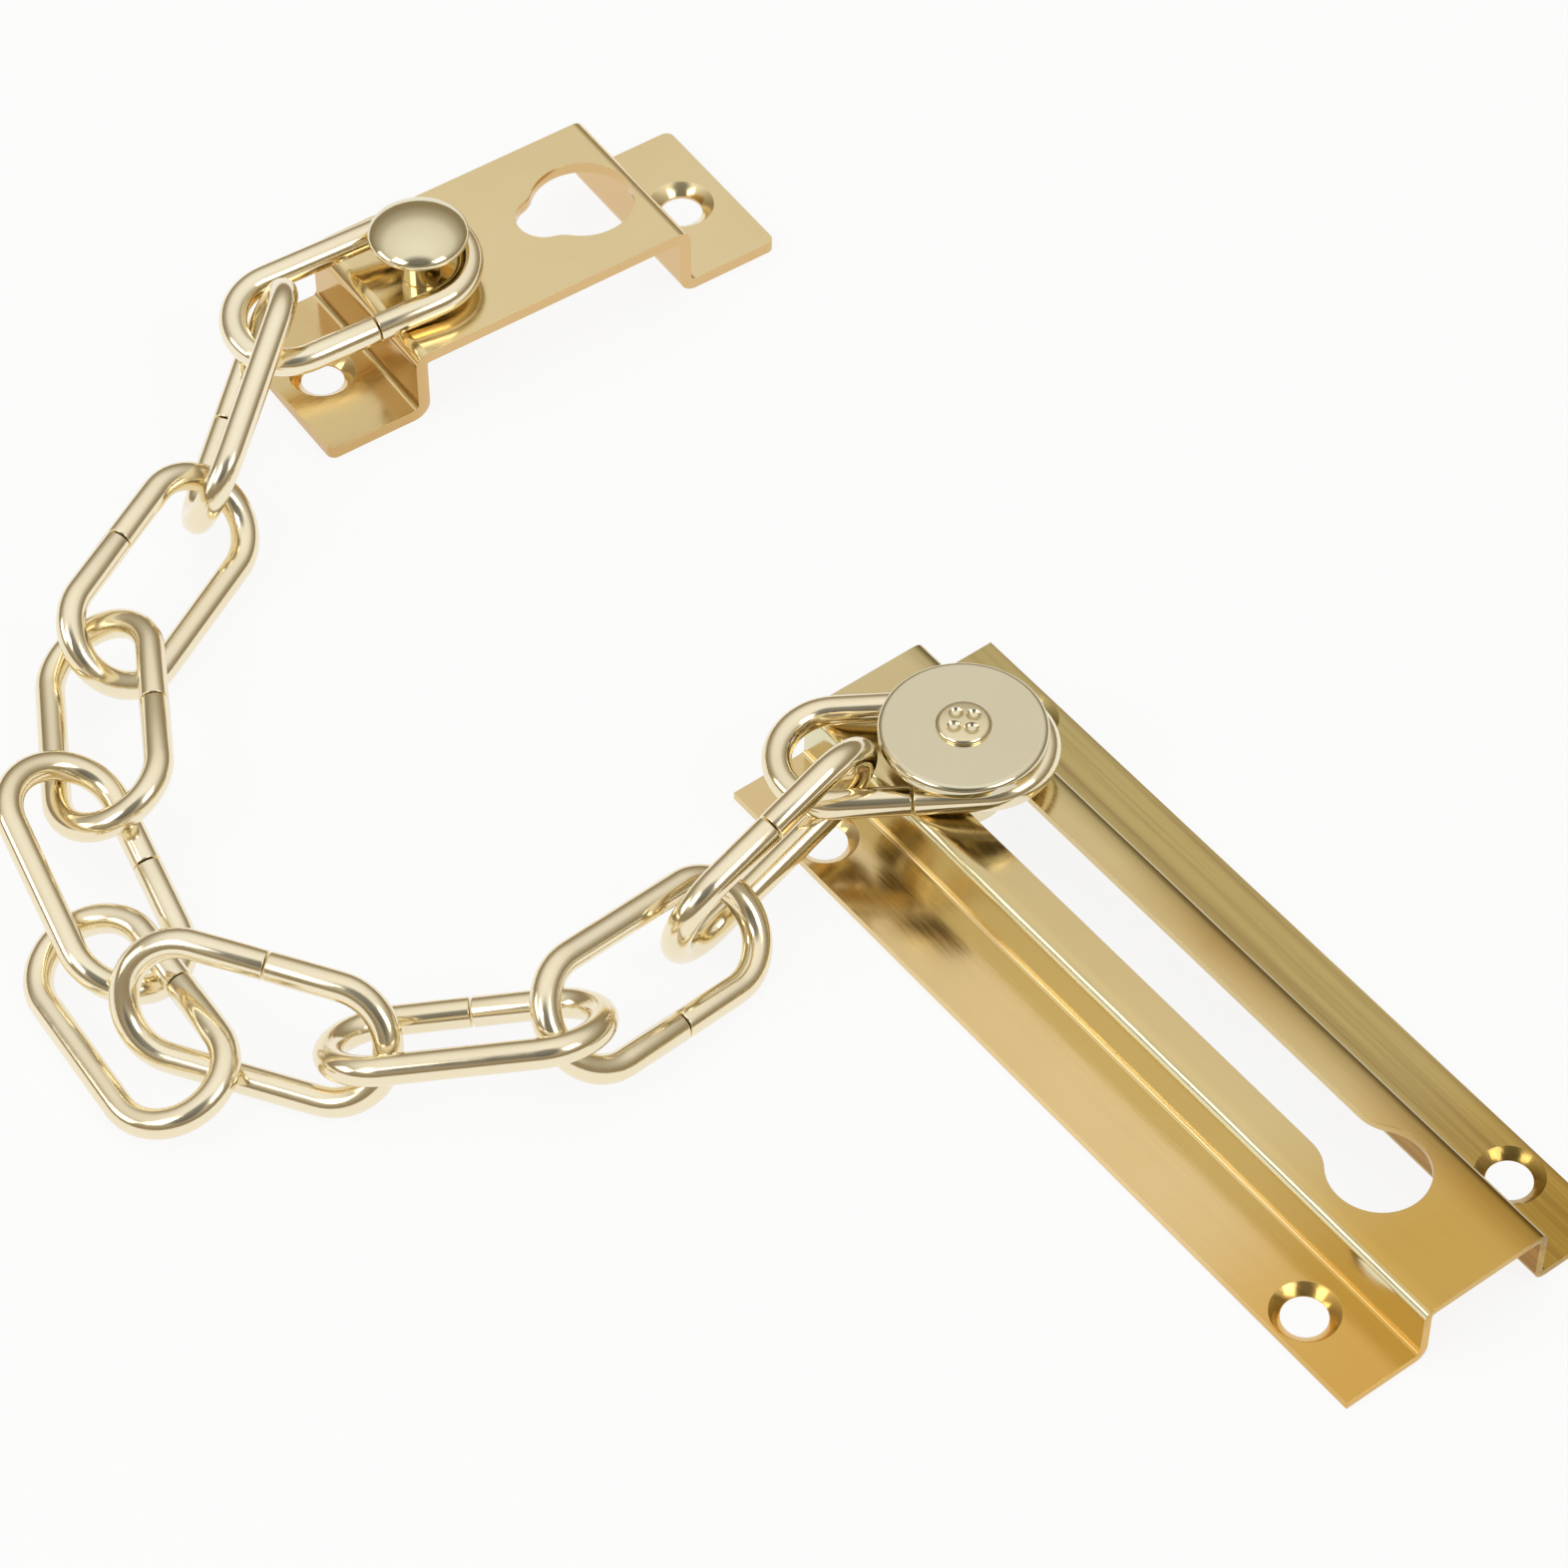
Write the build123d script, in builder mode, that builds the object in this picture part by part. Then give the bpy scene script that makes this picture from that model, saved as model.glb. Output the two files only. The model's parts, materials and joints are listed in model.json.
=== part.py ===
from build123d import *
from collections import namedtuple
from math import asin, cos, degrees, pi, sin
import os

os.makedirs("parts", exist_ok=True)

# Track plate: a folded sheet with a hat section, lying along X with its back on Z = 0
track_len = 80.0
track_w = 28.6
track_h = 6.25
track_raised_w = 13.2
track_sheet = 0.8
track_bend = 0.4
track_hole_inset = 8.7
track_hole_margin = 3.2
track_hole_d = 3.8
track_sink_d = 5.9
track_sink_angle = 125.0
slot_w = 5.1
slot_inset = 13.0
keyhole_inset = 13.0
keyhole_d = 8.8
keyhole_blend = 2.0

# Slider: a shouldered rivet with its foot under the track, and a round button held by its peened end
slider_inset = 13.5
button_d = 14.7
button_t = 1.5
button_edge = 0.6
neck_d = 4.2
neck_len = 4.25
spigot_d = 3.0
rivet_end_d = 4.8
rivet_end_t = 0.6
punch_d = 1.2
punch_depth = 0.4
punch_ring = 1.2
punch_count = 4
foot_d = 7.6
foot_t = 1.8
foot_gap = 0.3
rivet_fit = 0.05

# Chain link: an oval of round wire with its two ends butted on one straight side
wire_d = 2.6
bend_r = 5.0
straight = 13.0
seam_gap = 0.3
wire_sides = 12
bend_steps = 8
hook_gap = 0.24

# Keeper bracket: a folded strip with a foot at each end and a keyhole in its raised top
keeper_len = 49.0
keeper_w = 18.2
keeper_h = 7.7
keeper_sheet = 1.2
keeper_bend = 0.5
keeper_foot = 9.5
keeper_corner = 0.8
keeper_hole_inset = 4.6
keeper_hole_d = 4.0
keeper_sink_d = 6.2
keeper_sink_angle = 100.0
park_x = 8.9
park_d = 9.8
park_lobe_x = 4.75
park_lobe_w = 5.5
keeper_heading = 86.6

# Keeper stud: a mushroom-headed rivet near the other end of the raised top
stud_x = -8.8
stud_neck_d = 3.6
stud_neck_len = 3.5
stud_flare = 1.3
stud_head_d = 9.3
stud_rim = 0.4
stud_dome = 1.7
stud_tail_d = 3.0
stud_tail_head_d = 5.2
stud_tail_head_t = 0.9

# How the chain lies, from the slider to the keeper, in degrees and mm. A heading is a link's long axis in
# plan, a slope is its rise along that axis and a roll is its lean. A hook is measured along the wire from
# the middle of that end of the link. The seam is on the link's left (1) or right (-1) side.
Lay = namedtuple("Lay", "heading slope roll near_hook far_hook seam_side")
chain_lay = [
    Lay(233, -4, -4, 0.0, 6.5, 1),
    Lay(278, -13, 77, 7.5, -10.0, 1),
    Lay(278, 9, -41, 0.5, 1.0, 1),
    Lay(233, -9, 28, -4.5, 8.0, -1),
    Lay(215, 3, -54, 0.0, 12.9, -1),
    Lay(175, -2, -17, 5.5, 0.0, -1),
    Lay(169, 13, 18, -11.0, -10.5, -1),
    Lay(150, -2, -25, 0.5, 2.0, -1),
    Lay(116, 2, 41, -3.5, 1.5, 1),
    Lay(126, 17, 116, -2.5, -4.5, -1),
    Lay(81, 4, 7, -2.5, 0.0, -1),
]
slider_in_last_link = Vector(-4.4, 0.2)
last_link_lift = 1.9
stud_in_first_link = Vector(7.3, 0.7)
first_link_lift = 2.5
height_tries = 8

# Track plate
roof_z = track_h - track_sheet / 2
flange_z = track_sheet / 2
web_y = (track_raised_w - track_sheet) / 2
track_hole_x = track_len / 2 - track_hole_inset
track_hole_y = track_w / 2 - track_hole_margin
slot_start_x = slot_inset - track_len / 2
keyhole_x = track_len / 2 - keyhole_inset
slot_len = keyhole_x - slot_start_x
with BuildPart() as track_plate:
    with BuildSketch(Plane.YZ) as hat_section:
        with BuildLine() as sheet_line:
            FilletPolyline(
                (-track_w / 2, flange_z),
                (-web_y, flange_z),
                (-web_y, roof_z),
                (web_y, roof_z),
                (web_y, flange_z),
                (track_w / 2, flange_z),
                radius=track_bend + track_sheet / 2,
            )
        trace(line_width=track_sheet)
    extrude(amount=track_len / 2, both=True)
    with BuildSketch(Plane.XY.offset(track_h)) as slot_outline:
        with Locations((slot_start_x + slot_len / 2, 0)):
            SlotCenterToCenter(slot_len, slot_w)
        with Locations((keyhole_x, 0)):
            Circle(keyhole_d / 2)
        fillet(slot_outline.vertices().filter_by_position(Axis.X, 0, keyhole_x), keyhole_blend)
    extrude(amount=-2 * track_sheet, mode=Mode.SUBTRACT)
    with Locations((0, 0, track_sheet)):
        with GridLocations(2 * track_hole_x, 2 * track_hole_y, 2, 2):
            CounterSinkHole(track_hole_d / 2, track_sink_d / 2, track_sheet, track_sink_angle)
track_plate.part.label = "track_plate"
export_step(track_plate.part, "parts/track_plate.step")

# Slider button
slider_x = slider_inset - track_len / 2
button_z = track_h + neck_len
button_top = button_z + button_t
with BuildPart() as slider_button:
    with BuildSketch(Plane((slider_x, 0, button_z))) as button_face:
        Circle(button_d / 2)
        Circle(spigot_d / 2 + rivet_fit, mode=Mode.SUBTRACT)
    extrude(amount=button_t)
    rims = slider_button.edges().filter_by(GeomType.CIRCLE).sort_by(SortBy.RADIUS)[-2:]
    chamfer(rims, button_edge)
slider_button.part.label = "slider_button"
export_step(slider_button.part, "parts/slider_button.step")

# Slider rivet
foot_z = track_h - track_sheet - foot_gap
punch_z = button_top + rivet_end_t - punch_depth + punch_d / 2
with BuildPart() as slider_rivet:
    with BuildSketch(Plane((slider_x, 0, 0), (1, 0, 0), (0, -1, 0))) as rivet_section:
        with BuildLine() as rivet_outline:
            Polyline(
                (0, button_top + rivet_end_t),
                (0, foot_z - foot_t),
                (foot_d / 2, foot_z - foot_t),
                (foot_d / 2, foot_z),
                (neck_d / 2, foot_z),
                (neck_d / 2, button_z),
                (spigot_d / 2, button_z),
                (spigot_d / 2, button_top),
                (rivet_end_d / 2, button_top),
            )
            TangentArc((0, button_top + rivet_end_t), (rivet_end_d / 2, button_top), tangent=(1, 0))
        make_face()
    revolve(axis=Axis((slider_x, 0, 0), (0, 0, 1)))
    with Locations((slider_x, 0, punch_z)):
        with PolarLocations(punch_ring, punch_count):
            Sphere(punch_d / 2, mode=Mode.SUBTRACT)
slider_rivet.part.label = "slider_rivet"
export_step(slider_rivet.part, "parts/slider_rivet.step")

# Chain links: each hooks through the one before it, with a small gap between the two wires
wire_loop = 2 * (pi * bend_r + straight)


def wire_spot(along):
    """A point on a link's wire, so far round from the middle of its far end, and the wire's way there."""
    along = (along + pi * bend_r / 2) % wire_loop
    half_turn = 180 if along >= wire_loop / 2 else 0
    along = along % (wire_loop / 2)
    if along < pi * bend_r:
        angle = along / bend_r - pi / 2
        spot = Vector(straight / 2 + bend_r * cos(angle), bend_r * sin(angle))
        way = Vector(-sin(angle), cos(angle))
    else:
        spot = Vector(straight / 2 + pi * bend_r - along, bend_r)
        way = Vector(-1, 0)
    return spot.rotate(Axis.Z, half_turn), way.rotate(Axis.Z, half_turn)


def lay_chain(lays):
    """The plane of every link from the slider to the keeper."""
    planes = []
    for lay in lays:
        turn = Plane(Location((0, 0, 0), (lay.roll, -lay.slope, lay.heading), Extrinsic.XYZ))
        near_spot, near_way = wire_spot(wire_loop / 2 + lay.near_hook)
        if planes:
            near_way = turn.from_local_coords(near_way)
            across = far_way.cross(near_way).normalized()
            opening = far_in - turn.z_dir.cross(near_way)
            across = across if across.dot(opening) > 0 else -across
            origin = far_spot + across * (wire_d + hook_gap) - turn.from_local_coords(near_spot)
        else:
            origin = Vector(slider_x, 0, 0) - turn.from_local_coords(slider_in_last_link)
            origin = Vector(origin.X, origin.Y, track_h + last_link_lift)
        planes.append(Plane(origin, turn.x_dir, turn.z_dir))
        far_spot, far_way = wire_spot(lay.far_hook)
        far_spot = planes[-1].from_local_coords(far_spot)
        far_way = turn.from_local_coords(far_way)
        far_in = turn.z_dir.cross(far_way)
    return planes


# The link next to the first one leans until the first link is at the height of the stud's neck
for _ in range(height_tries):
    link_planes = lay_chain(chain_lay)
    stud_spot = link_planes[-1].from_local_coords(stud_in_first_link)
    miss = keeper_h + first_link_lift - stud_spot.Z
    leaning = chain_lay[-2]
    chain_lay[-2] = leaning._replace(slope=leaning.slope + degrees(asin(miss / (straight + 2 * bend_r))))

# The wire's middle line, once round from its seam, with each bend in short straight steps
bend_step = pi / bend_steps
corner = Vector(bend_r / cos(bend_step / 2), 0)
far_bend = []
for step in range(bend_steps):
    far_bend.append(corner.rotate(Axis.Z, degrees(bend_step * (step + 0.5)) - 90) + Vector(straight / 2, 0))
near_bend = [-spot for spot in far_bend]
wire_round = [Vector(-seam_gap / 2, bend_r), *near_bend, *far_bend, Vector(seam_gap / 2, bend_r)]

for number, lay, plane in zip(range(len(chain_lay), 0, -1), chain_lay, link_planes):
    with BuildPart() as link:
        with BuildLine() as wire_line:
            Polyline(*[plane.from_local_coords(spot * lay.seam_side) for spot in wire_round])
        with BuildSketch(Plane(wire_line.wire() @ 0, plane.z_dir, wire_line.wire() % 0)) as wire_section:
            RegularPolygon(wire_d / 2, wire_sides)
        sweep(transition=Transition.RIGHT)
    link.part.label = f"link_{number:02d}"
    export_step(link.part, f"parts/link_{number:02d}.step")

# Keeper bracket: its stud stands where the first link's end lies
keeper_way = Vector(1, 0, 0).rotate(Axis.Z, keeper_heading)
keeper_spot = Vector(stud_spot.X, stud_spot.Y, 0) - keeper_way * stud_x
keeper_plane = Plane(keeper_spot, keeper_way, (0, 0, 1))
bridge_x = keeper_len / 2 - keeper_foot - keeper_sheet / 2
bridge_z = keeper_h - keeper_sheet / 2
foot_mid_z = keeper_sheet / 2
park_slot = park_x - park_lobe_x
keeper_hole_x = keeper_len / 2 - keeper_hole_inset
with BuildPart() as keeper_bracket:
    with BuildSketch(Plane(keeper_spot, keeper_way, -keeper_plane.y_dir)) as bridge_section:
        with BuildLine() as strip_line:
            FilletPolyline(
                (-keeper_len / 2, foot_mid_z),
                (-bridge_x, foot_mid_z),
                (-bridge_x, bridge_z),
                (bridge_x, bridge_z),
                (bridge_x, foot_mid_z),
                (keeper_len / 2, foot_mid_z),
                radius=keeper_bend + keeper_sheet / 2,
            )
        trace(line_width=keeper_sheet)
    extrude(amount=keeper_w / 2, both=True)
    fillet(keeper_bracket.edges().filter_by(Axis.Z).sort_by_distance(keeper_spot)[-4:], keeper_corner)
    with BuildSketch(keeper_plane.offset(keeper_h)) as top_cuts:
        with Locations((park_lobe_x + park_slot / 2, 0)):
            SlotCenterToCenter(park_slot, park_lobe_w)
        with Locations((park_x, 0)):
            Circle(park_d / 2)
        with Locations((stud_x, 0)):
            Circle(stud_tail_d / 2 + rivet_fit)
    extrude(amount=-2 * keeper_sheet, mode=Mode.SUBTRACT)
    with Locations(keeper_plane.offset(keeper_sheet)):
        with Locations((-keeper_hole_x, 0), (keeper_hole_x, 0)):
            CounterSinkHole(keeper_hole_d / 2, keeper_sink_d / 2, keeper_sheet, keeper_sink_angle)
keeper_bracket.part.label = "keeper_bracket"
export_step(keeper_bracket.part, "parts/keeper_bracket.step")

# Keeper stud
under_z = keeper_h - keeper_sheet
flare_z = keeper_h + stud_neck_len
rim_z = flare_z + stud_flare
dome_z = rim_z + stud_rim
head_r = stud_head_d / 2
with BuildPart() as keeper_stud:
    with BuildSketch(Plane((stud_spot.X, stud_spot.Y, 0), (1, 0, 0), (0, -1, 0))) as stud_section:
        with BuildLine() as stud_outline:
            Polyline(
                (0, dome_z + stud_dome),
                (0, under_z - stud_tail_head_t),
                (stud_tail_head_d / 2, under_z - stud_tail_head_t),
                (stud_tail_head_d / 2, under_z),
                (stud_tail_d / 2, under_z),
                (stud_tail_d / 2, keeper_h),
                (stud_neck_d / 2, keeper_h),
                (stud_neck_d / 2, flare_z),
                (head_r, rim_z),
                (head_r, dome_z),
            )
            TangentArc((0, dome_z + stud_dome), (head_r, dome_z), tangent=(1, 0))
        make_face()
    revolve(axis=Axis((stud_spot.X, stud_spot.Y, 0), (0, 0, 1)))
keeper_stud.part.label = "keeper_stud"
export_step(keeper_stud.part, "parts/keeper_stud.step")
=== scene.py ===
import bpy
import json
import math
import numpy as np
from mathutils import Matrix, Vector


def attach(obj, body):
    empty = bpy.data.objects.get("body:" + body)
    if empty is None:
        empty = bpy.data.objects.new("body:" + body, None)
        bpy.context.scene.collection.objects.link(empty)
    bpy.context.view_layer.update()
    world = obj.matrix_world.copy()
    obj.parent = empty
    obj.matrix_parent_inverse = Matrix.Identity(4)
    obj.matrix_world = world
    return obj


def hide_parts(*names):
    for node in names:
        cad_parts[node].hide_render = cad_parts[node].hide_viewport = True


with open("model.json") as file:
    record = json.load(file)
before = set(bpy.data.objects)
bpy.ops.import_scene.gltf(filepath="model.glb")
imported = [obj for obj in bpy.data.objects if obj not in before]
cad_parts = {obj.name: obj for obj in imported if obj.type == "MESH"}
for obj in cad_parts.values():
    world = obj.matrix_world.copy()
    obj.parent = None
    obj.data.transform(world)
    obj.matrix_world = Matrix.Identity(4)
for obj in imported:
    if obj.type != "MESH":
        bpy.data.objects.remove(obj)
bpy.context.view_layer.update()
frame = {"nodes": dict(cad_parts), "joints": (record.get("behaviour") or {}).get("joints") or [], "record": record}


# Studio: the set lies on a plain white table and is seen from above the keyhole end of the track.
# A bright ceiling over darker, warm walls gives the polished metal its long streaks, and a shaded
# stand behind the camera keeps its own reflection quiet.
view_from = Vector((0.2082, -0.2003, 0.3661))
view_to = Vector((-0.03866, -0.00984, 0.0))
table_size, table_drop = 4.0, 0.00002
paper_white, glow_share = (0.92, 0.92, 0.92), 0.88
wall_tones = (
    (0.00, (0.29, 0.23, 0.14)),
    (0.30, (0.33, 0.28, 0.20)),
    (0.55, (0.53, 0.50, 0.43)),
    (0.72, (0.83, 0.81, 0.78)),
    (0.82, (0.90, 0.88, 0.85)),
    (1.00, (1.00, 1.00, 1.00)),
)
stand_span, stand_shade = (0.86, 0.97), 0.25
softboxes = (
    ("softbox_front", (-0.02, -0.66, 0.62), 0.36, 0.36, 1.05),
    ("softbox_right", (0.60, 0.16, 0.62), 0.36, 0.36, 1.05),
    ("softbox_low", (-0.42, -0.74, 0.34), 0.44, 0.28, 0.85),
)


def looking(place):
    """The turn that points a camera or a lamp from its place to the middle of the set."""
    return (view_to - Vector(place)).to_track_quat("-Z", "Y").to_euler()


def reckon(tree, way, first, second=None):
    """Works out a measure from one or two others, the second of which may be a plain number."""
    step = tree.nodes.new("ShaderNodeMath")
    step.operation = way
    tree.links.new(first, step.inputs[0])
    if isinstance(second, float):
        step.inputs[1].default_value = second
    elif second is not None:
        tree.links.new(second, step.inputs[1])
    return step.outputs[0]


def parts_of(tree, vector):
    """The X, Y and Z of a place or a direction."""
    parts = tree.nodes.new("ShaderNodeSeparateXYZ")
    tree.links.new(vector, parts.inputs[0])
    return parts.outputs


def fade(tree, value, span, low_result=0.0, high_result=1.0):
    """Turns a measure into a soft step between two results over a span."""
    step = tree.nodes.new("ShaderNodeMapRange")
    step.interpolation_type = "SMOOTHSTEP"
    step.inputs["From Min"].default_value = span[0]
    step.inputs["From Max"].default_value = span[1]
    step.inputs["To Min"].default_value = low_result
    step.inputs["To Max"].default_value = high_result
    tree.links.new(value, step.inputs["Value"])
    return step.outputs["Result"]


def tones_along(tree, value, stops):
    """Turns a measure into a colour that runs from stop to stop."""
    band = tree.nodes.new("ShaderNodeValToRGB")
    marks = band.color_ramp.elements
    for place, tone in stops[1:-1]:
        marks.new(place).color = (*tone, 1)
    for mark, (place, tone) in ((marks[0], stops[0]), (marks[-1], stops[-1])):
        mark.position = place
        mark.color = (*tone, 1)
    tree.links.new(value, band.inputs["Fac"])
    return band.outputs["Color"]


bpy.ops.object.select_all(action="DESELECT")
bpy.ops.object.camera_add(location=view_from)
camera = bpy.context.object
camera.name = "camera"
camera.rotation_euler = looking(view_from)
camera.data.sensor_width = 36.0
camera.data.lens = 127.25
camera.data.clip_start = 0.01
bpy.context.scene.camera = camera
bpy.context.scene.view_settings.view_transform = "Standard"

bpy.ops.mesh.primitive_plane_add(size=table_size, location=(0, 0, -table_drop))
table = bpy.context.object
table.name = "table"
table_white = bpy.data.materials.new("table_white")
table_white.use_nodes = True
tree = table_white.node_tree
tree.nodes.clear()
paper = tree.nodes.new("ShaderNodeBsdfDiffuse")
paper.inputs["Color"].default_value = (*paper_white, 1)
glow = tree.nodes.new("ShaderNodeEmission")
glow.inputs["Color"].default_value = (1, 1, 1, 1)
glow.inputs["Strength"].default_value = 1.0
rays = tree.nodes.new("ShaderNodeLightPath").outputs
seen = reckon(tree, "MAXIMUM", rays["Is Camera Ray"], rays["Is Glossy Ray"])
seen = reckon(tree, "MAXIMUM", seen, rays["Is Transmission Ray"])
both = tree.nodes.new("ShaderNodeMixShader")
tree.links.new(reckon(tree, "MULTIPLY", seen, glow_share), both.inputs["Fac"])
tree.links.new(paper.outputs[0], both.inputs[1])
tree.links.new(glow.outputs[0], both.inputs[2])
out = tree.nodes.new("ShaderNodeOutputMaterial")
tree.links.new(both.outputs[0], out.inputs["Surface"])
table.data.materials.append(table_white)

room = bpy.data.worlds.new("studio_room")
bpy.context.scene.world = room
room.use_nodes = True
tree = room.node_tree
tree.nodes.clear()
way_out = tree.nodes.new("ShaderNodeTexCoord").outputs["Generated"]
stand = tree.nodes.new("ShaderNodeVectorMath")
stand.operation = "DOT_PRODUCT"
stand.inputs[1].default_value = (view_from - view_to).normalized()
tree.links.new(way_out, stand.inputs[0])
sky = tree.nodes.new("ShaderNodeBackground")
tree.links.new(tones_along(tree, parts_of(tree, way_out)["Z"], wall_tones), sky.inputs["Color"])
tree.links.new(fade(tree, stand.outputs["Value"], stand_span, 1.0, stand_shade), sky.inputs["Strength"])
out = tree.nodes.new("ShaderNodeOutputWorld")
tree.links.new(sky.outputs[0], out.inputs["Surface"])

for name, place, width, height, watts in softboxes:
    bpy.ops.object.light_add(type="AREA", location=place)
    lamp = bpy.context.object
    lamp.name = name
    lamp.data.shape = "RECTANGLE"
    lamp.data.size = width
    lamp.data.size_y = height
    lamp.data.energy = watts
    lamp.rotation_euler = looking(place)


# Track plate: one brass-plated steel strip folded to a hat section, which leaves a channel under its top.
# The slot and keyhole are punched and the four screw holes countersunk, and all cut edges are tumbled soft.
track_len, track_w, track_h, track_raised_w = 0.080, 0.0286, 0.00625, 0.0132
track_sheet, track_bend, track_soft_edge = 0.0008, 0.0004, 0.00012
roof_fall, roof_fall_steps, roof_fall_fullness = 0.0016, 16, 0.76
slot_w, slot_start_x, keyhole_x, keyhole_d, neck_blend = 0.0051, -0.027, 0.027, 0.0088, 0.0040
track_hole_x, track_hole_y, track_hole_d = 0.0313, 0.0111, 0.0040
track_sink_d, track_sink_depth, track_drill_reach = 0.0060, 0.00074, 0.002
near_enough, fold_steps, hole_sides = 1e-6, 8, 64


def pick(piece, part, test):
    """Selects the vertices, edges or faces whose middle passes the test, and stays in edit mode."""
    bpy.ops.object.mode_set(mode="OBJECT")
    mesh = piece.data
    for items in (mesh.vertices, mesh.edges, mesh.polygons):
        items.foreach_set("select", [False] * len(items))
    for item in getattr(mesh, part):
        if part == "vertices":
            middle = item.co
        elif part == "edges":
            middle = (mesh.vertices[item.vertices[0]].co + mesh.vertices[item.vertices[1]].co) / 2
        else:
            middle = item.center
        item.select = bool(test(middle))
    bpy.context.tool_settings.mesh_select_mode = [part == kind for kind in ("vertices", "edges", "polygons")]
    bpy.ops.object.mode_set(mode="EDIT")


def draw(way):
    """Draws what is selected out by a step."""
    bpy.ops.mesh.extrude_region_move(TRANSFORM_OT_translate={"value": way})


def settle(piece):
    """Puts a piece's place, turn and size into its mesh."""
    bpy.ops.object.mode_set(mode="OBJECT")
    bpy.ops.object.select_all(action="DESELECT")
    piece.select_set(True)
    bpy.context.view_layer.objects.active = piece
    bpy.ops.object.transform_apply(location=True, rotation=True, scale=True)


def use_modifier(piece, kind, **values):
    """Adds a modifier with these values and applies it."""
    settle(piece)
    modifier = piece.modifiers.new(kind.lower(), kind)
    for name, value in values.items():
        setattr(modifier, name, value)
    bpy.ops.object.modifier_apply(modifier=modifier.name)


def cut(piece, cutter):
    """Cuts one closed shape out of a piece and takes the shape away."""
    settle(cutter)
    use_modifier(piece, "BOOLEAN", operation="DIFFERENCE", solver="EXACT", object=cutter)
    bpy.data.objects.remove(cutter, do_unlink=True)


def round_punch(x, y, low, high, radius):
    """A round punch standing at a place."""
    bpy.ops.object.select_all(action="DESELECT")
    bpy.ops.mesh.primitive_cylinder_add(
        vertices=hole_sides, radius=radius, depth=high - low, location=(x, y, (low + high) / 2)
    )
    return bpy.context.object


def keyhole_punch(slot_x, round_x, slot_w, round_d, blend_r, low, high):
    """A punch for a slot that swells into a round hole: its outline drawn once round, filled and raised.

    The two blends lie on the slot's straight edges, or on its round end where the slot is too short for that.
    """
    blend_steps, slot_end_steps, up = 10, 32, (0, 0, 1)
    half_w, spacing = slot_w / 2, round_x - slot_x
    to_slot, to_round = half_w + blend_r, round_d / 2 + blend_r
    blend_x, blend_y = round_x - math.sqrt(to_round**2 - to_slot**2), to_slot
    straight_edges = blend_x > slot_x
    if not straight_edges:
        blend_x = slot_x + (to_slot**2 - to_round**2 + spacing**2) / (2 * spacing)
        blend_y = math.sqrt(to_slot**2 - (blend_x - slot_x)**2)
    end_turn = math.pi / 2 if straight_edges else math.atan2(blend_y, blend_x - slot_x)
    lean = math.atan2(blend_y, round_x - blend_x)
    blend_turn = math.pi - end_turn - lean
    start = (slot_x + half_w * math.cos(end_turn), -half_w * math.sin(end_turn), low)
    bpy.ops.object.select_all(action="DESELECT")
    bpy.ops.mesh.primitive_plane_add(size=slot_w / 10, location=start)
    punch = bpy.context.object
    settle(punch)
    pick(punch, "vertices", lambda at: True)
    bpy.ops.mesh.merge(type="CENTER")
    if straight_edges:
        draw((blend_x - slot_x, 0, 0))
    bpy.ops.mesh.spin(steps=blend_steps, angle=blend_turn, center=(blend_x, -blend_y, low), axis=up)
    bpy.ops.mesh.spin(steps=hole_sides, angle=2 * lean - 2 * math.pi, center=(round_x, 0, low), axis=up)
    bpy.ops.mesh.spin(steps=blend_steps, angle=blend_turn, center=(blend_x, blend_y, low), axis=up)
    if straight_edges:
        draw((slot_x - blend_x, 0, 0))
    bpy.ops.mesh.spin(
        steps=slot_end_steps, angle=2 * end_turn - 2 * math.pi, center=(slot_x, 0, low), axis=up
    )
    bpy.ops.mesh.select_all(action="SELECT")
    bpy.ops.mesh.remove_doubles(threshold=near_enough)
    bpy.ops.mesh.edge_face_add()
    draw((0, 0, high - low))
    bpy.ops.mesh.select_all(action="SELECT")
    bpy.ops.mesh.normals_make_consistent(inside=False)
    settle(punch)
    return punch


def sink_punch(x, y, face_z, hole_d, sink_d, sink_depth, reach):
    """A drill with a countersink above it, which reaches past the sheet below and above."""
    punch = round_punch(x, y, face_z - reach, face_z - sink_depth, hole_d / 2)
    settle(punch)
    pick(punch, "polygons", lambda at: at.z > face_z - sink_depth - near_enough)
    draw((0, 0, sink_depth))
    grow = sink_d / hole_d
    bpy.ops.transform.resize(value=(grow, grow, 1), center_override=(x, y, face_z))
    draw((0, 0, reach))
    settle(punch)
    return punch


def soften(piece, width, smooth_angle=32):
    """Rounds the cut edges a little and shades the bends smooth."""
    use_modifier(
        piece, "BEVEL", width=width, segments=2, limit_method="ANGLE",
        angle_limit=math.radians(smooth_angle), face_strength_mode="FSTR_ALL", use_clamp_overlap=True,
    )
    settle(piece)
    bpy.ops.object.shade_smooth_by_angle(angle=math.radians(smooth_angle))
    use_modifier(piece, "WEIGHTED_NORMAL", use_face_influence=True, weight=50)


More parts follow.
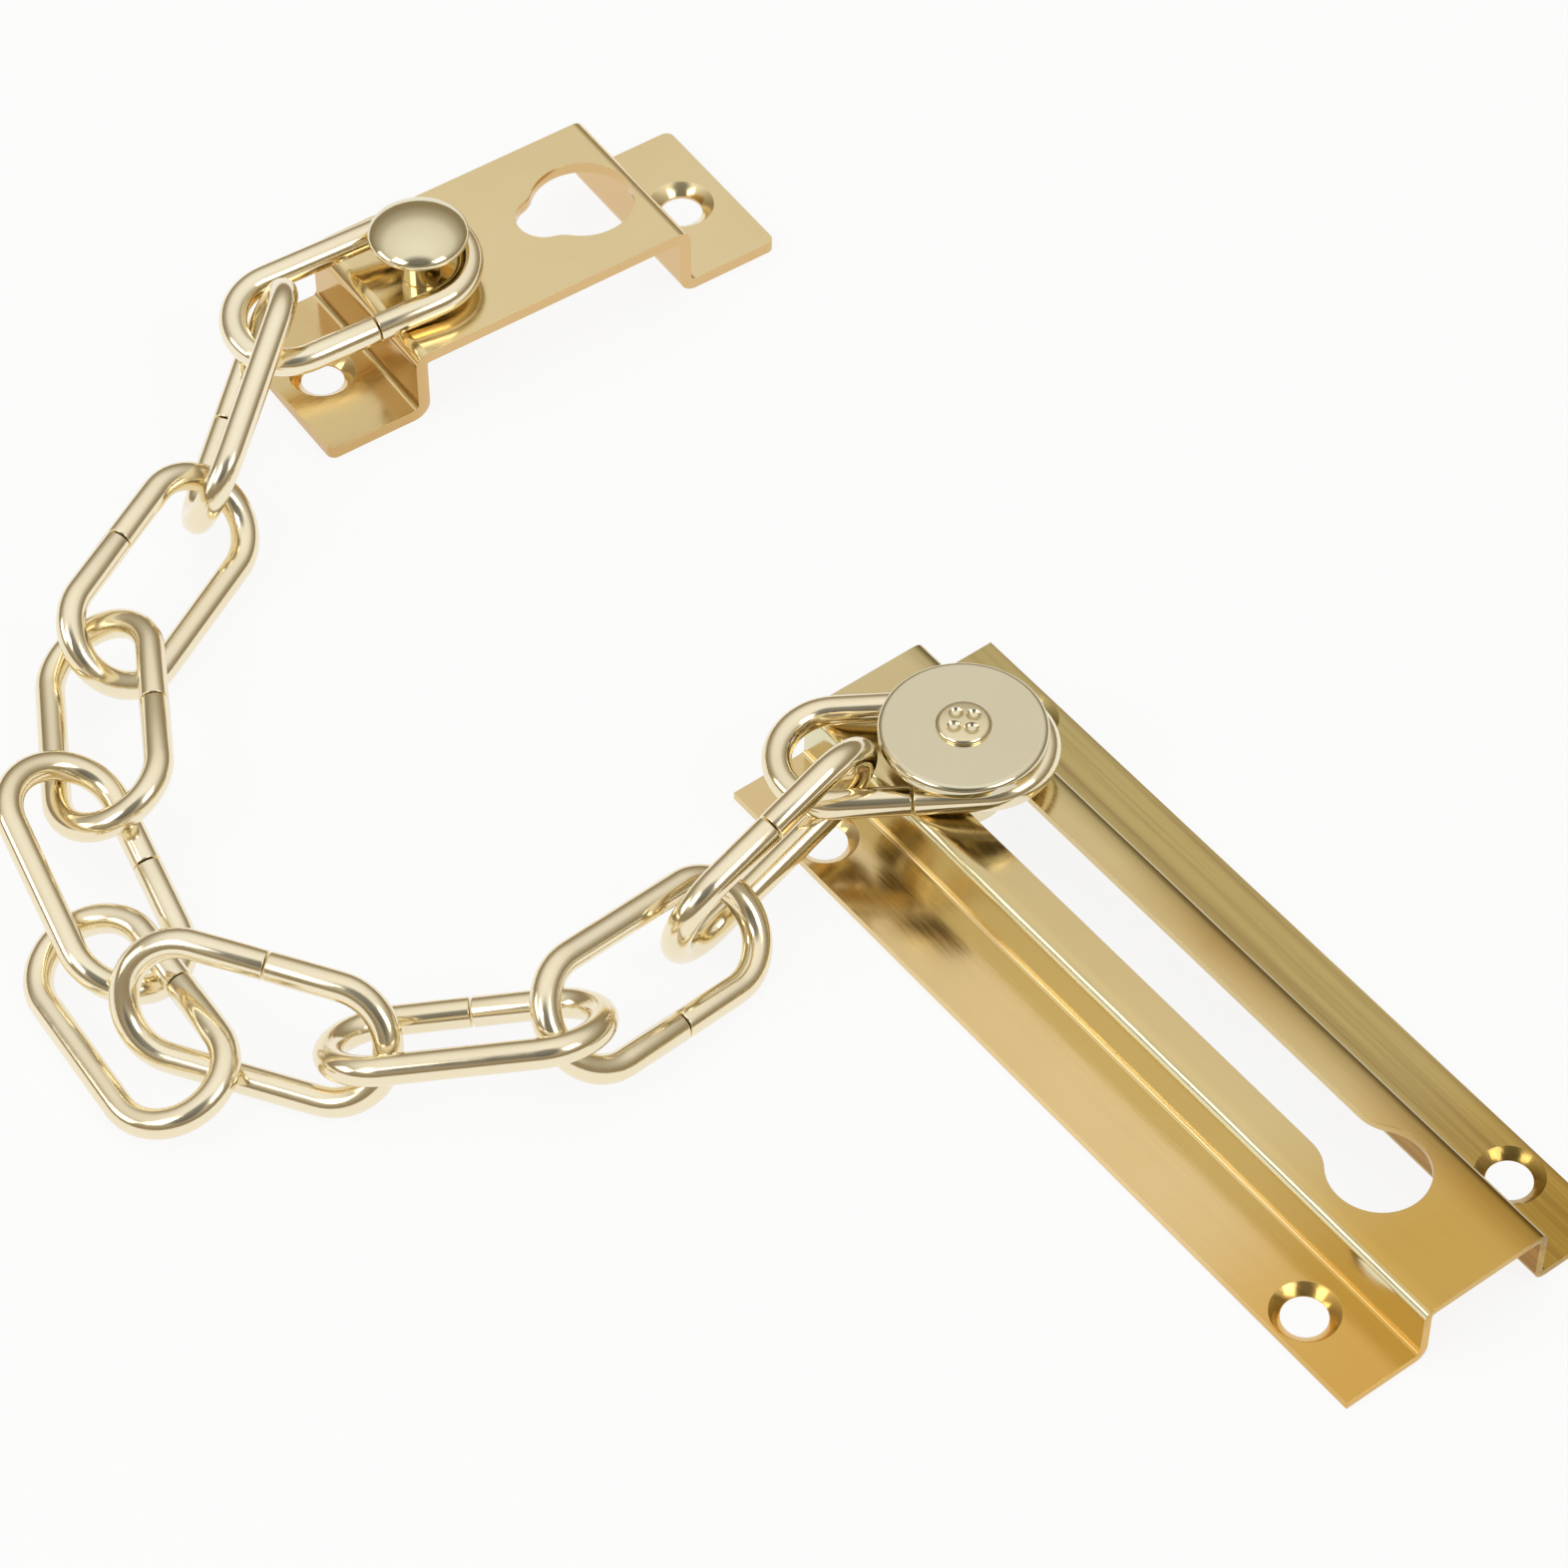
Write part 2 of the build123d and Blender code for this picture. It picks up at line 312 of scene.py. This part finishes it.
def brass(name, colour, worn_colour, roughness, rub_scale, rub_depth):
    """Brass plate with slow colour drift, uneven polish and fine rub lines along one way."""
    metal = bpy.data.materials.new(name)
    metal.use_nodes = True
    tree = metal.node_tree
    shader = tree.nodes["Principled BSDF"]
    shader.inputs["Metallic"].default_value = 1.0
    spot = tree.nodes.new("ShaderNodeTexCoord").outputs["Object"]
    drift = tree.nodes.new("ShaderNodeTexNoise")
    drift.name = "drift"
    drift.inputs["Scale"].default_value = 45.0
    drift.inputs["Detail"].default_value = 3.0
    tree.links.new(spot, drift.inputs["Vector"])
    plate = tones_along(tree, drift.outputs["Fac"], ((0.32, worn_colour), (0.68, colour)))
    tree.links.new(plate, shader.inputs["Base Color"])
    stretch = tree.nodes.new("ShaderNodeMapping")
    stretch.inputs["Scale"].default_value = rub_scale
    tree.links.new(spot, stretch.inputs["Vector"])
    rubs = tree.nodes.new("ShaderNodeTexNoise")
    rubs.inputs["Scale"].default_value = 1.0
    rubs.inputs["Detail"].default_value = 4.0
    tree.links.new(stretch.outputs["Vector"], rubs.inputs["Vector"])
    polish = tree.nodes.new("ShaderNodeMapRange")
    polish.inputs["From Min"].default_value = 0.3
    polish.inputs["From Max"].default_value = 0.7
    polish.inputs["To Min"].default_value = roughness * 0.75
    polish.inputs["To Max"].default_value = roughness * 1.3
    tree.links.new(rubs.outputs["Fac"], polish.inputs["Value"])
    tree.links.new(polish.outputs["Result"], shader.inputs["Roughness"])
    lines = tree.nodes.new("ShaderNodeBump")
    lines.inputs["Strength"].default_value = rub_depth
    lines.inputs["Distance"].default_value = 0.00002
    tree.links.new(rubs.outputs["Fac"], lines.inputs["Height"])
    tree.links.new(lines.outputs["Normal"], shader.inputs["Normal"])
    return metal


def toned(tree, colour, share, tone, way="MULTIPLY"):
    """Lays a tone over a colour, where its share says."""
    mix = tree.nodes.new("ShaderNodeMix")
    mix.data_type = "RGBA"
    mix.blend_type = way
    tree.links.new(share, mix.inputs["Factor"])
    tree.links.new(colour, mix.inputs["A"])
    if isinstance(tone, tuple):
        mix.inputs["B"].default_value = (*tone, 1)
    else:
        tree.links.new(tone, mix.inputs["B"])
    return mix.outputs["Result"]


def hand_over(piece, metal, body, node):
    """Gives a finished piece its metal and its body, and hides the solid it stands for."""
    piece.data.materials.clear()
    piece.data.materials.append(metal)
    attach(piece, body)
    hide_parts(node)


bpy.ops.object.select_all(action="DESELECT")
bpy.ops.mesh.primitive_plane_add(size=1, location=(0, 0, track_h - track_sheet / 2))
track = bpy.context.object
track.name = "track_sheet"
web_y = (track_raised_w - track_sheet) / 2
track.scale = (track_len, 2 * web_y, 1)
settle(track)
for side in (-1, 1):
    pick(track, "edges", lambda at: at.y * side > web_y - near_enough)
    draw((0, 0, track_sheet - track_h))
    draw((0, side * (track_w / 2 - web_y), 0))
for low, high, bend, steps, fullness in (
    (0, track_h / 2, track_bend + track_sheet / 2, fold_steps, 0.5),
    (track_h / 2, track_h, roof_fall, roof_fall_steps, roof_fall_fullness),
):
    pick(track, "edges", lambda at: low < at.z < high and abs(at.x) < near_enough
         and abs(abs(at.y) - web_y) < near_enough)
    bpy.ops.mesh.bevel(offset=bend, segments=steps, profile=fullness, affect="EDGES")
use_modifier(track, "SOLIDIFY", thickness=track_sheet, offset=0, use_even_offset=True)
roof_low, roof_high = track_h - 2 * track_sheet, track_h + track_sheet
cut(track, keyhole_punch(slot_start_x, keyhole_x, slot_w, keyhole_d, neck_blend, roof_low, roof_high))
for side_x in (-1, 1):
    for side_y in (-1, 1):
        cut(track, sink_punch(
            side_x * track_hole_x, side_y * track_hole_y, track_sheet,
            track_hole_d, track_sink_d, track_sink_depth, track_drill_reach,
        ))
soften(track, track_soft_edge)

track_brass = brass(
    "track_brass", colour=(0.87, 0.65, 0.32), worn_colour=(0.83, 0.61, 0.29),
    roughness=0.17, rub_scale=(250, 4500, 4500), rub_depth=0.20,
)
tree = track_brass.node_tree
base_colour = tree.nodes["Principled BSDF"].inputs["Base Color"]
plate = base_colour.links[0].from_socket
spot = tree.nodes.new("ShaderNodeTexCoord").outputs["Object"]
here = parts_of(tree, spot)
facing = parts_of(tree, tree.nodes.new("ShaderNodeNewGeometry").outputs["True Normal"])
outward = reckon(tree, "MULTIPLY", here["Y"], facing["Y"])
raised = fade(tree, here["Z"], (0.0008, 0.0014))
roof = fade(tree, here["Z"], (0.0035, 0.0058))

# Painted reflection: along its length the plate is paler at the slider's end and warmer at the keyhole, with an
# uneven border, and the roof takes a cooler tone
border_wander = 0.016
wander = reckon(tree, "MULTIPLY", tree.nodes["drift"].outputs["Fac"], border_wander)
along_track = reckon(tree, "ADD", wander, here["X"])
painted_pale_reflection = fade(tree, along_track, (-0.035, 0.010), 1.0, 0.0)
painted_warm_reflection = fade(tree, along_track, (0.024, 0.046))
plate = toned(tree, plate, painted_pale_reflection, (0.95, 0.99, 1.08))
plate = toned(tree, plate, painted_warm_reflection, (0.86, 0.70, 0.36))
# Painted reflection: a cooler tone on the roof
plate = toned(tree, plate, roof, (0.89, 0.94, 0.97))

# The far side is darker, which is painted shade, with the long streaks that rolling left in the sheet, which are
# the sheet's own
roll_marks = tree.nodes.new("ShaderNodeMapping")
roll_marks.inputs["Scale"].default_value = (14, 900, 900)
tree.links.new(spot, roll_marks.inputs["Vector"])
streaks = tree.nodes.new("ShaderNodeTexNoise")
streaks.inputs["Scale"].default_value = 1.0
streaks.inputs["Detail"].default_value = 5.0
streaks.inputs["Roughness"].default_value = 0.65
tree.links.new(roll_marks.outputs["Vector"], streaks.inputs["Vector"])
streak_and_shade_tones = ((0.36, (0.46, 0.44, 0.36)), (0.60, (0.66, 0.68, 0.54)))
painted_far_shade = fade(tree, here["Y"], (0.0035, 0.0068), 0.10, 1.0)
plate = toned(tree, plate, painted_far_shade, tones_along(tree, streaks.outputs["Fac"], streak_and_shade_tones))

# Painted shade: the strip of roof beyond the slot darkens towards the keyhole
painted_strip_shade_tones = (
    (0.30, (1.00, 1.00, 1.00)),
    (0.52, (0.80, 0.70, 0.56)),
    (0.76, (0.90, 0.85, 0.78)),
    (1.00, (0.84, 0.78, 0.72)),
)
along_strip = fade(tree, here["X"], (-track_len / 2, track_len / 2))
painted_far_strip_shade = reckon(tree, "MULTIPLY", fade(tree, here["Y"], (0.0020, 0.0045)), roof)
plate = toned(tree, plate, painted_far_strip_shade, tones_along(tree, along_strip, painted_strip_shade_tones))

# The upright sides are pale outside, a painted reflection, and brown in the channel, a painted shade
painted_web_reflection = reckon(tree, "MULTIPLY", fade(tree, outward, (0.0022, 0.0052)), raised)
plate = toned(tree, plate, painted_web_reflection, (0.77, 0.72, 0.48), "MIX")
# Painted shade in the channel under the roof
painted_channel_shade = reckon(tree, "MULTIPLY", fade(tree, outward, (-0.0056, -0.0048), 1.0, 0.0), raised)
plate = toned(tree, plate, painted_channel_shade, (0.72, 0.56, 0.36))
tree.links.new(plate, base_colour)
hand_over(track, track_brass, "track", "track_plate")


# Slider: a shouldered brass rivet with its foot in the channel, and a polished round button on its upper end.
# The end is peened over the button, which leaves a low dome with a few punch dents.
slider_x = -0.0265
button_z, button_t, button_d, button_edge = 0.0105, 0.0015, 0.0147, 0.0006
button_sides, button_smooth_angle = 128, 32
foot_z, foot_t, foot_d, neck_d = 0.00515, 0.0018, 0.0076, 0.0042
spigot_d, rivet_fit, rivet_end_d, rivet_end_t, rivet_soft_edge = 0.003, 0.00005, 0.0048, 0.0006, 0.00008
peen_wall_z, peen_turn_z, peen_dome_z, peen_turn_r, peen_dome_r = 0.3, 0.55, 0.75, 0.96, 0.86
punch_ring, punch_d, punch_sink, punch_marks = 0.0011, 0.0016, 0.0004, 4
turned_sides, dome_steps, dome_top_gap = 72, 12, 0.3


def turn_up(name, x, y, rings):
    """Turns a round piece: a ring drawn up and sized step by step, then closed at both ends."""
    bpy.ops.object.select_all(action="DESELECT")
    bpy.ops.mesh.primitive_circle_add(
        vertices=turned_sides, radius=rings[0][0], location=(x, y, rings[0][1])
    )
    piece = bpy.context.object
    piece.name = name
    settle(piece)
    pick(piece, "vertices", lambda at: True)
    for (last_r, last_z), (radius, height) in zip(rings, rings[1:]):
        draw((0, 0, height - last_z))
        bpy.ops.transform.resize(value=(radius / last_r, radius / last_r, 1), center_override=(x, y, height))
    bpy.ops.mesh.select_all(action="SELECT")
    bpy.ops.mesh.fill_holes(sides=0)
    bpy.ops.mesh.normals_make_consistent(inside=False)
    settle(piece)
    return piece


def dome(radius, height, foot_height, fullness=0.0):
    """Rings of a low round dome from its rim to near its top, fuller towards the rim where asked."""
    ball = (radius**2 + height**2) / (2 * height)
    rings = []
    for step in range(1, dome_steps + 1):
        turn = math.pi / 2 * (1 - step / (dome_steps + dome_top_gap))
        spread = radius * math.sin(turn)
        cap = height - ball + math.sqrt(ball**2 - spread**2)
        full = height * math.cos(turn)
        rings.append((spread, foot_height + cap + fullness * (full - cap)))
    return rings


bpy.ops.object.select_all(action="DESELECT")
button_hole_r, button_r = spigot_d / 2 + rivet_fit, button_d / 2
bpy.ops.mesh.primitive_plane_add(
    size=1, rotation=(math.pi / 2, 0, 0),
    location=((button_hole_r + button_r) / 2, 0, button_z + button_t / 2),
)
button = bpy.context.object
button.name = "slider_disc"
button.scale = (button_r - button_hole_r, button_t, 1)
settle(button)
pick(button, "vertices", lambda at: at.x > button_r - near_enough)
bpy.ops.mesh.bevel(offset=button_edge, segments=8, profile=0.5, affect="VERTICES")
bpy.ops.mesh.select_all(action="SELECT")
bpy.ops.mesh.delete(type="ONLY_FACE")
bpy.ops.mesh.select_all(action="SELECT")
bpy.ops.mesh.spin(steps=button_sides, angle=2 * math.pi, center=(0, 0, 0), axis=(0, 0, 1))
bpy.ops.mesh.select_all(action="SELECT")
bpy.ops.mesh.remove_doubles(threshold=near_enough)
bpy.ops.mesh.normals_make_consistent(inside=False)
settle(button)
button.location = (slider_x, 0, 0)
settle(button)
bpy.ops.object.shade_smooth_by_angle(angle=math.radians(button_smooth_angle))
use_modifier(button, "WEIGHTED_NORMAL", keep_sharp=True, weight=80)
button_brass = brass(
    "slider_brass", colour=(0.76, 0.70, 0.51), worn_colour=(0.74, 0.67, 0.48),
    roughness=0.10, rub_scale=(900, 900, 900), rub_depth=0.04,
)
hand_over(button, button_brass, "slider", "slider_button")

button_top = button_z + button_t
rivet_end_r = rivet_end_d / 2
rivet = turn_up("slider_pin", slider_x, 0, [
    (foot_d / 2, foot_z - foot_t),
    (foot_d / 2, foot_z),
    (neck_d / 2, foot_z),
    (neck_d / 2, button_z),
    (spigot_d / 2, button_z),
    (spigot_d / 2, button_top),
    (rivet_end_r, button_top),
    (rivet_end_r, button_top + rivet_end_t * peen_wall_z),
    (rivet_end_r * peen_turn_r, button_top + rivet_end_t * peen_turn_z),
    *dome(rivet_end_r * peen_dome_r, rivet_end_t * (1 - peen_dome_z), button_top + rivet_end_t * peen_dome_z),
])
for mark in range(punch_marks):
    turn = math.radians(360 / punch_marks * mark)
    bpy.ops.object.select_all(action="DESELECT")
    bpy.ops.mesh.primitive_uv_sphere_add(
        segments=32, ring_count=16, radius=punch_d / 2,
        location=(
            slider_x + punch_ring * math.cos(turn), punch_ring * math.sin(turn),
            button_top + rivet_end_t - punch_sink + punch_d / 2,
        ),
    )
    cut(rivet, bpy.context.object)
soften(rivet, rivet_soft_edge)
rivet_brass = brass(
    "rivet_brass", colour=(0.84, 0.76, 0.55), worn_colour=(0.80, 0.70, 0.46),
    roughness=0.14, rub_scale=(1800, 1800, 1800), rub_depth=0.20,
)
hand_over(rivet, rivet_brass, "slider", "slider_rivet")


# Chain links: ovals of drawn brass wire, bent round a mandrel with the two ends butted on one straight side.
# The ends are cropped and tumbled, so the seam shows as a thin dark line with soft lips.
wire_r, bend_r, straight, link_count = 0.0013, 0.005, 0.013, 11
seam_gap, seam_lip, seam_reach = 0.00018, 0.0001, 0.001
wire_sides, wire_bend_steps, wire_smooth_angle = 36, 28, 40
to_seam = (seam_gap - straight) / 2
bpy.ops.object.select_all(action="DESELECT")
bpy.ops.mesh.primitive_circle_add(
    vertices=wire_sides, radius=wire_r, location=(-seam_gap / 2, bend_r, 0), rotation=(0, math.pi / 2, 0)
)
wire_link = bpy.context.object
wire_link.name = "wire_link"
settle(wire_link)
pick(wire_link, "vertices", lambda at: True)
draw((to_seam, 0, 0))
bpy.ops.mesh.spin(steps=wire_bend_steps, angle=-math.pi, center=(-straight / 2, 0, 0), axis=(0, 0, 1))
draw((straight, 0, 0))
bpy.ops.mesh.spin(steps=wire_bend_steps, angle=-math.pi, center=(straight / 2, 0, 0), axis=(0, 0, 1))
draw((to_seam, 0, 0))
bpy.ops.mesh.select_all(action="SELECT")
bpy.ops.mesh.remove_doubles(threshold=near_enough)
bpy.ops.mesh.fill_holes(sides=0)
bpy.ops.mesh.normals_make_consistent(inside=False)
pick(wire_link, "edges", lambda at: abs(abs(at.x) - seam_gap / 2) < near_enough)
bpy.ops.mesh.bevel(offset=seam_lip, segments=3, profile=0.5, affect="EDGES")
settle(wire_link)
bpy.ops.object.shade_smooth_by_angle(angle=math.radians(wire_smooth_angle))


def lie_of(node):
    """Where a link lies: its middle, with its long way on X, its seam on the +Y side and its flat on Z."""
    spots = np.array([corner.co for corner in node.data.vertices])
    spots = np.unique(np.round(spots, 7), axis=0)
    ways = np.linalg.eigh(np.cov((spots - spots.mean(0)).T))[1]
    long_way, side_way = Vector(ways[:, 2]), Vector(ways[:, 1])
    normal = long_way.cross(side_way)
    along, across, through = spots @ ways[:, 2], spots @ ways[:, 1], spots @ np.array(normal)
    middle = [(line.max() + line.min()) / 2 for line in (along, across, through)]
    at_seam = np.abs(along - middle[0]) < seam_reach
    if across[at_seam].mean() < middle[1]:
        long_way, side_way = -long_way, -side_way
        middle[0], middle[1] = -middle[0], -middle[1]
    lie = Matrix((long_way, side_way, normal)).transposed().to_4x4()
    lie.translation = long_way * middle[0] + side_way * middle[1] + normal * middle[2]
    return lie


chain_brass = brass(
    "chain_brass", colour=(0.92, 0.83, 0.62), worn_colour=(0.88, 0.77, 0.54),
    roughness=0.14, rub_scale=(800, 800, 800), rub_depth=0.06,
)
for number in range(1, link_count + 1):
    node_name = f"link_{number:02d}"
    link = wire_link.copy()
    link.data = wire_link.data.copy()
    link.name = f"wire_{number:02d}"
    bpy.context.collection.objects.link(link)
    link.data.transform(lie_of(frame["nodes"][node_name]))
    hand_over(link, chain_brass, node_name, node_name)
bpy.data.objects.remove(wire_link, do_unlink=True)


# Keeper bracket: a brass-plated steel strip folded into a low bridge with a foot at each end.
# Its top has a punched parking keyhole for the slider, and each foot one countersunk screw hole.
keeper_len, keeper_w, keeper_h, keeper_foot = 0.049, 0.0182, 0.0077, 0.0095
keeper_sheet, keeper_bend, keeper_top_bend = 0.0012, 0.0005, 0.0002
keeper_corner, keeper_soft_edge = 0.0008, 0.00018
keeper_hole_x, keeper_hole_d, keeper_drill_reach = 0.0199, 0.004, 0.003
keeper_sink_d, keeper_sink_depth = 0.0062, 0.00092
park_x, park_d, park_lobe_x, park_lobe_w, park_blend = 0.0089, 0.0098, 0.00475, 0.0055, 0.0030
stud_x, stud_tail_d = -0.0088, 0.003
mounts = {mount["name"]: mount for mount in frame["record"]["mounts"]}
joints = {joint["name"]: joint for joint in frame["joints"]}
keeper_middle = Vector(mounts["keeper_screws"]["pos_m"])
stud_spot = Vector(joints["keeper_on_link_01"]["pos_m"])
keeper_way = keeper_middle - stud_spot
bpy.ops.object.select_all(action="DESELECT")
bpy.ops.mesh.primitive_plane_add(size=1, location=(0, 0, keeper_h - keeper_sheet / 2))
keeper = bpy.context.object
keeper.name = "keeper_strip"
web_x = keeper_len / 2 - keeper_foot - keeper_sheet / 2
keeper.scale = (2 * web_x, keeper_w, 1)
settle(keeper)
for side in (-1, 1):
    pick(keeper, "edges", lambda at: at.x * side > web_x - near_enough)
    draw((0, 0, keeper_sheet - keeper_h))
    draw((side * (keeper_len / 2 - web_x), 0, 0))
for low, high, bend in ((0, keeper_h / 2, keeper_bend), (keeper_h / 2, keeper_h, keeper_top_bend)):
    pick(keeper, "edges", lambda at: low < at.z < high and abs(at.y) < near_enough
         and abs(abs(at.x) - web_x) < near_enough)
    bpy.ops.mesh.bevel(offset=bend + keeper_sheet / 2, segments=fold_steps, profile=0.5, affect="EDGES")
pick(keeper, "vertices", lambda at: abs(at.x) > keeper_len / 2 - near_enough)
bpy.ops.mesh.bevel(offset=keeper_corner, segments=5, profile=0.5, affect="VERTICES")
use_modifier(keeper, "SOLIDIFY", thickness=keeper_sheet, offset=0, use_even_offset=True)
top_low, top_high = keeper_h - 2 * keeper_sheet, keeper_h + keeper_sheet
cut(keeper, keyhole_punch(park_lobe_x, park_x, park_lobe_w, park_d, park_blend, top_low, top_high))
cut(keeper, round_punch(stud_x, 0, top_low, top_high, stud_tail_d / 2 + rivet_fit))
for side in (-1, 1):
    cut(keeper, sink_punch(
        side * keeper_hole_x, 0, keeper_sheet,
        keeper_hole_d, keeper_sink_d, keeper_sink_depth, keeper_drill_reach,
    ))
soften(keeper, keeper_soft_edge)
keeper.rotation_euler = (0, 0, math.atan2(keeper_way.y, keeper_way.x))
keeper.location = (keeper_middle.x, keeper_middle.y, 0)
settle(keeper)

# Painted shade: the upright sides and cut edges are browner than the flats, and so is the foot by the chain
keeper_brass = brass(
    "keeper_brass", colour=(0.90, 0.75, 0.44), worn_colour=(0.87, 0.70, 0.39),
    roughness=0.15, rub_scale=(3500, 350, 3500), rub_depth=0.12,
)
tree = keeper_brass.node_tree
base_colour = tree.nodes["Principled BSDF"].inputs["Base Color"]
plate = base_colour.links[0].from_socket
facing = parts_of(tree, tree.nodes.new("ShaderNodeNewGeometry").outputs["True Normal"])
painted_upright_shade = fade(tree, reckon(tree, "ABSOLUTE", facing["Z"]), (0.25, 0.75), 1.0, 0.0)
plate = toned(tree, plate, painted_upright_shade, (0.80, 0.67, 0.55))
here = parts_of(tree, tree.nodes.new("ShaderNodeTexCoord").outputs["Object"])
# Painted shade on the foot by the chain
painted_chain_foot_shade = fade(tree, here["Y"], (-0.0110, -0.0070), 1.0, 0.0)
plate = toned(tree, plate, painted_chain_foot_shade, (0.88, 0.83, 0.72))
tree.links.new(plate, base_colour)
hand_over(keeper, keeper_brass, "keeper", "keeper_bracket")


# Keeper stud: a turned brass rivet with a mushroom head, riveted through the bracket's top.
# Its neck holds the first link and its head is polished.
stud_neck_d, stud_neck_z, stud_rim_z, stud_dome_z = 0.0036, 0.0113, 0.0125, 0.0129
stud_head_d, stud_dome_h, stud_dome_fullness = 0.0093, 0.0017, 0.5
stud_tail_head_d, stud_tail_head_t = 0.0052, 0.0009
stud_soft_edge, stud_smooth_angle = 0.0002, 40
under_z = keeper_h - keeper_sheet
stud = turn_up("keeper_rivet", stud_spot.x, stud_spot.y, [
    (stud_tail_head_d / 2, under_z - stud_tail_head_t),
    (stud_tail_head_d / 2, under_z),
    (stud_tail_d / 2, under_z),
    (stud_tail_d / 2, keeper_h),
    (stud_neck_d / 2, keeper_h),
    (stud_neck_d / 2, stud_neck_z),
    (stud_head_d / 2, stud_rim_z),
    (stud_head_d / 2, stud_dome_z),
    *dome(stud_head_d / 2, stud_dome_h, stud_dome_z, stud_dome_fullness),
])
soften(stud, stud_soft_edge, stud_smooth_angle)
stud_brass = brass(
    "stud_brass", colour=(0.82, 0.75, 0.55), worn_colour=(0.79, 0.71, 0.49),
    roughness=0.09, rub_scale=(900, 900, 900), rub_depth=0.04,
)
hand_over(stud, stud_brass, "keeper", "keeper_stud")
